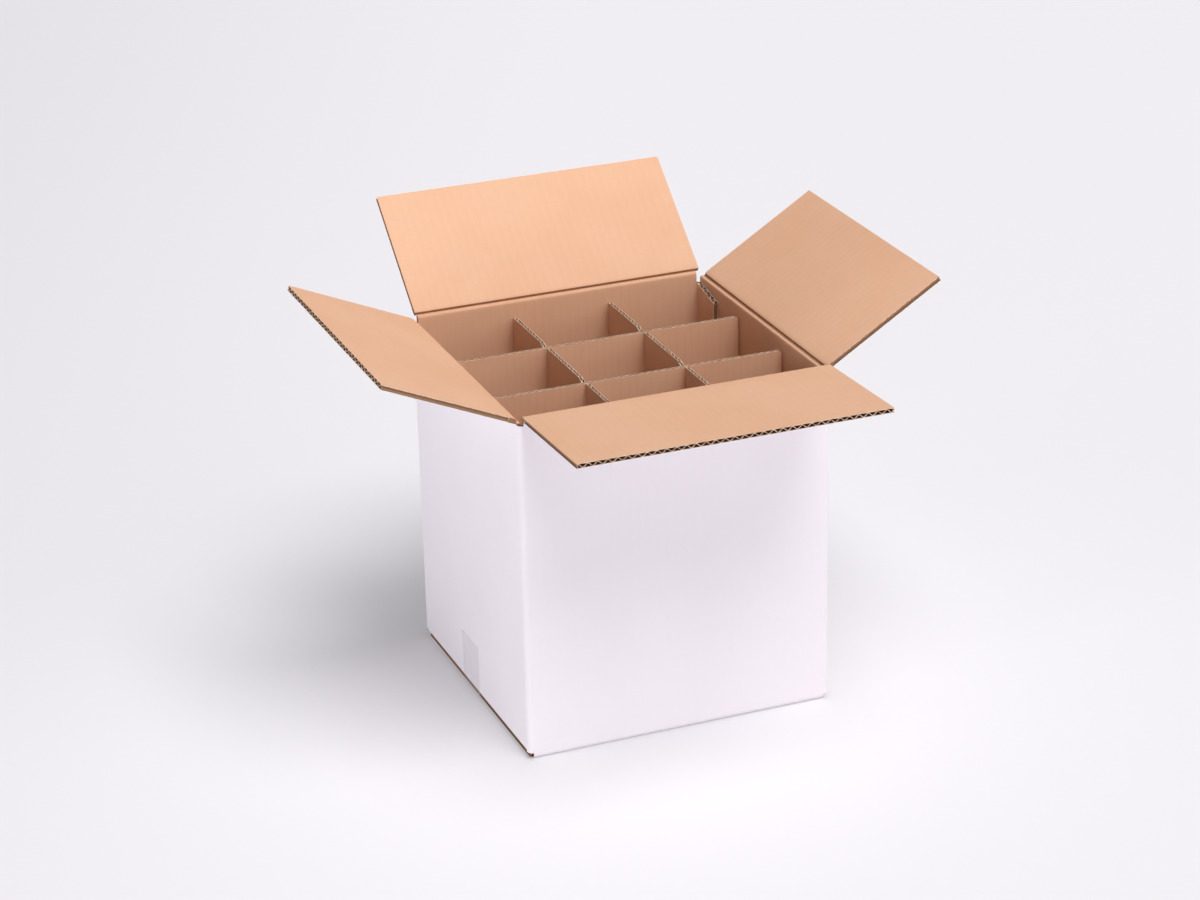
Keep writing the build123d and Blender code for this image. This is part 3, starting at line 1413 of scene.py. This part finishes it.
@dataclass
class Studio:
    """The pale floor, soft lights and the camera."""

    eye: Colour = (-0.9065, -2.264, 1.2275)
    yaw: float = 21.47
    pitch: float = -22.93
    roll: float = -1.31
    lens: float = 97.7
    floor_size: float = 30.0
    floor_drop: float = 0.0003

    def floor(self, palette: Palette) -> None:
        """The floor that the box stands on.

        Args:
            palette: where its finish comes from.
        """
        Bench.clear()
        bpy.ops.mesh.primitive_grid_add(x_subdivisions=8, y_subdivisions=8,
                                        size=self.floor_size, location=(0, 0, -self.floor_drop))
        made = bpy.context.object
        made.name = "studio_floor"
        made.data.materials.append(palette.get(StudioFloor()))

    def light(self, kind: str, name: str, place: Colour, aim: Vector, strength: float,
              colour: Colour) -> Piece:
        """Adds one light.

        Args:
            kind: AREA or SUN.
            name: its name.
            place: where it stands.
            aim: the way that it points.
            strength: how strong it is.
            colour: its colour.

        Returns:
            The light.
        """
        Bench.clear()
        bpy.ops.object.light_add(type=kind, location=place)
        made = bpy.context.object
        made.name = name
        made.data.energy = strength
        made.data.color = colour
        made.rotation_euler = aim.to_track_quat("-Z", "Y").to_euler()
        return made

    def sun(self, name: str, toward: Colour, spread: float, strength: float,
            colour: Colour) -> None:
        """One wide, far light, given by the direction towards it."""
        made = self.light("SUN", name, (0, 0, 3), -Vector(toward), strength, colour)
        made.data.angle = math.radians(spread)

    def fill(self, place: Colour, size: float, strength: float, colour: Colour) -> None:
        """One square softbox that looks at the box.

        Args:
            place: where it stands.
            size: its width.
            strength: its power.
            colour: its colour.
        """
        aim = Vector((0, 0, 0.15)) - Vector(place)
        made = self.light("AREA", "fill", place, aim, strength, colour)
        made.data.shape = "SQUARE"
        made.data.size = size
        made.visible_camera = False

    def lights(self) -> None:
        """Soft light from above, a key from the front right, a low fill and a pale-rimmed sky."""
        self.sun("overhead", (0.09, -0.33, 0.94), 40.0, 2.72, (1.0, 0.985, 0.99))
        self.sun("key", (0.55, -0.74, 0.38), 60.0, 0.76, (1.0, 0.98, 0.97))
        self.fill((-2.7, -0.7, 0.3), 0.6, 21.0, (0.98, 0.97, 1.0))
        tree = ShaderTree(bpy.data.worlds.new("studio_sky"))
        up = tree.axis(tree.node("ShaderNodeTexCoord", {}, {}, "Generated"), 2)
        rim, crown = (0.70, 0.69, 0.72, 1.0), (0.12, 0.118, 0.124, 1.0)
        bpy.context.scene.world = tree.sky(tree.mix(tree.between(up, 0.08, 0.38), rim, crown))

    def camera(self) -> None:
        """The camera, at its place and turned by yaw, pitch and roll."""
        yaw, pitch, roll = (math.radians(a) for a in (self.yaw, self.pitch, self.roll))
        forward = Vector((math.sin(yaw) * math.cos(pitch), math.cos(yaw) * math.cos(pitch),
                          math.sin(pitch)))
        level = Vector((math.cos(yaw), -math.sin(yaw), 0))
        above = level.cross(forward)
        right = level * math.cos(roll) + above * math.sin(roll)
        up = above * math.cos(roll) - level * math.sin(roll)
        turn = Matrix((right, up, -forward)).transposed().to_4x4()
        lens = bpy.data.cameras.new("camera")
        lens.sensor_width = 36.0
        lens.lens = self.lens
        lens.clip_start = 0.05
        lens.clip_end = 100.0
        made = bpy.data.objects.new("camera", lens)
        made.matrix_world = Matrix.Translation(self.eye) @ turn
        bpy.context.scene.collection.objects.link(made)
        bpy.context.scene.camera = made

    def build(self, palette: Palette) -> None:
        """Sets the whole studio up.

        Args:
            palette: where the finishes come from.
        """
        self.floor(palette)
        self.lights()
        self.camera()
        bpy.context.scene.view_settings.view_transform = "Standard"


# ---- The whole box ----


def open_angle(joint_name: str) -> float:
    """How far a flap stands open at rest, from its joint's range.

    Args:
        joint_name: the crease's joint.

    Returns:
        The angle from shut, in degrees.
    """
    joint = next(item for item in frame["joints"] if item["name"] == joint_name)
    return -joint["range_deg"][0]


def carton_sides(sizes: CartonSizes, palette: Palette) -> list[CartonSide]:
    """The four sides, from the sizes that they share.

    Args:
        sizes: the carton's sizes.
        palette: where the finishes come from.

    Returns:
        The front, back, left and right sides, not made yet.
    """
    x = sizes.half_length - sizes.bend
    y = sizes.half_width - sizes.bend
    under = sizes.board_gap
    crease = sizes.height - under
    inner_flap = (sizes.flap_gap - y, y - sizes.flap_gap)
    front_flap = (-x - sizes.flap_lap, x + sizes.flap_lap)
    back_flap = (-x + sizes.seam_gap, x + sizes.flap_lap)
    plans = {
        SideName.FRONT: (sizes.height, 0.0, (-x, x), front_flap),
        SideName.BACK: (sizes.height, 0.0, (CARTON_BOARD.thickness - x, x), back_flap),
        SideName.LEFT: (crease, under, (-y, y), inner_flap),
        SideName.RIGHT: (crease, under, (-y, sizes.half_width - sizes.seam_gap), inner_flap),
    }
    return [CartonSide(side, sizes, palette, crease, under,
                       open_angle(f"{side.word}_flap_crease"), wall, flap)
            for side, (crease, under, wall, flap) in plans.items()]


def main() -> None:
    """Makes the box piece by piece, then the studio."""
    logging.basicConfig(level=logging.INFO, format="%(message)s")
    palette = Palette()
    sizes = CartonSizes.from_cad()
    makers = [
        *carton_sides(sizes, palette),
        CartonCorners(sizes, palette),
        BottomTape(sizes, palette),
        Divider("long_divider_front", palette, True),
        Divider("long_divider_back", palette, True),
        Divider("cross_divider_left", palette, False),
        Divider("cross_divider_right", palette, False),
    ]
    for maker in makers:
        for piece in maker.build():
            log.info("%s: %d faces", piece.name, len(piece.data.polygons))
    Studio().build(palette)


if __name__ == "__main__":
    main()
